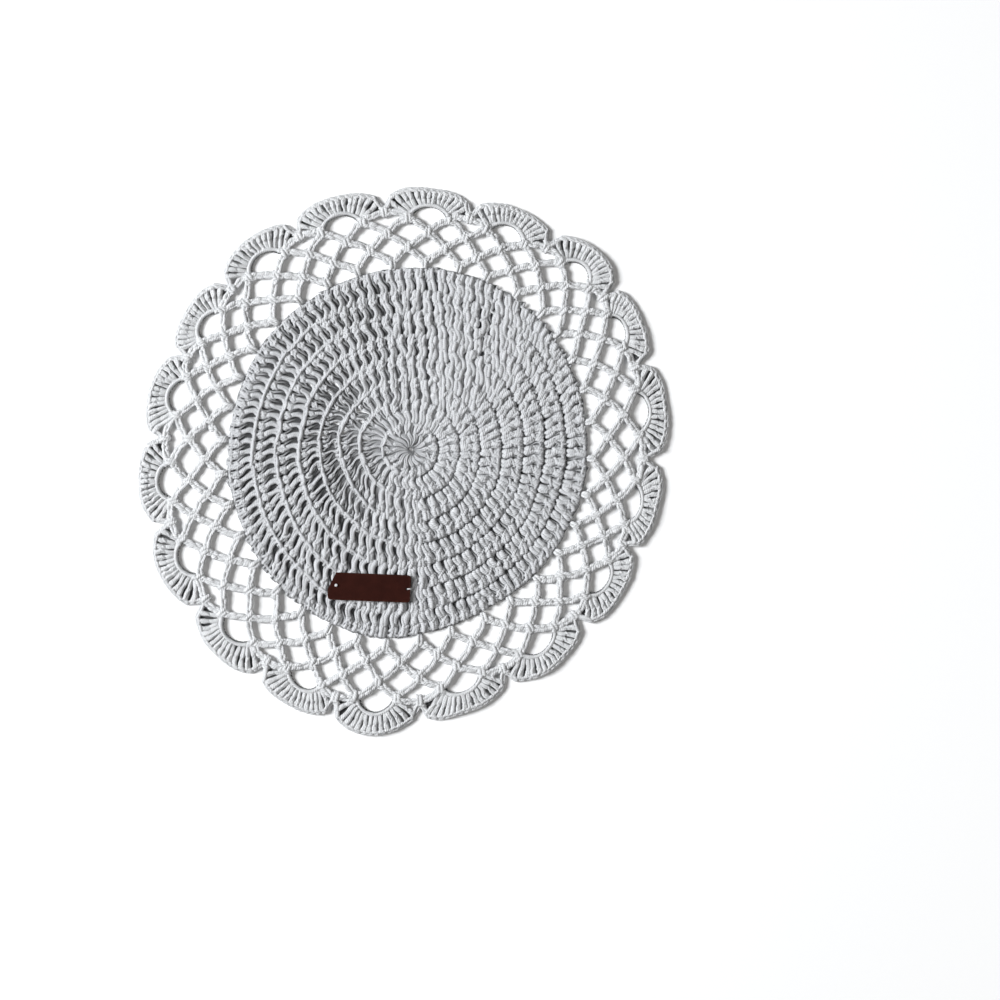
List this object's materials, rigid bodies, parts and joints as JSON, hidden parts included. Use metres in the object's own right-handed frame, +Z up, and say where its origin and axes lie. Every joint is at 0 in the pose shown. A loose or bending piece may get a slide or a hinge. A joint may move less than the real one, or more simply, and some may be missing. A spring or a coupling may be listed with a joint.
{
  "type": "crocheted round doily",
  "caption": "Round crocheted doily lying flat: a dense disc of post rounds, a chain-loop net, a scalloped fan border and a small bare leather label.",
  "frame": {"origin": "centre of the crochet rounds, on the flat underside", "axes": "+Z up out of the upper face, +Y towards the picture's top, +X towards the picture's right, so the label lies towards -Y and a little to -X"},
  "size_m": [0.3492, 0.3602, 0.0058],
  "materials": {
    "cotton": "matte off-white cotton yarn, softly twisted",
    "leather": "dark brown smooth leather with a fine grain, dull"
  },
  "bodies": {
    "root": {"doily": "cotton", "label": "leather"}
  },
  "joints": []
}
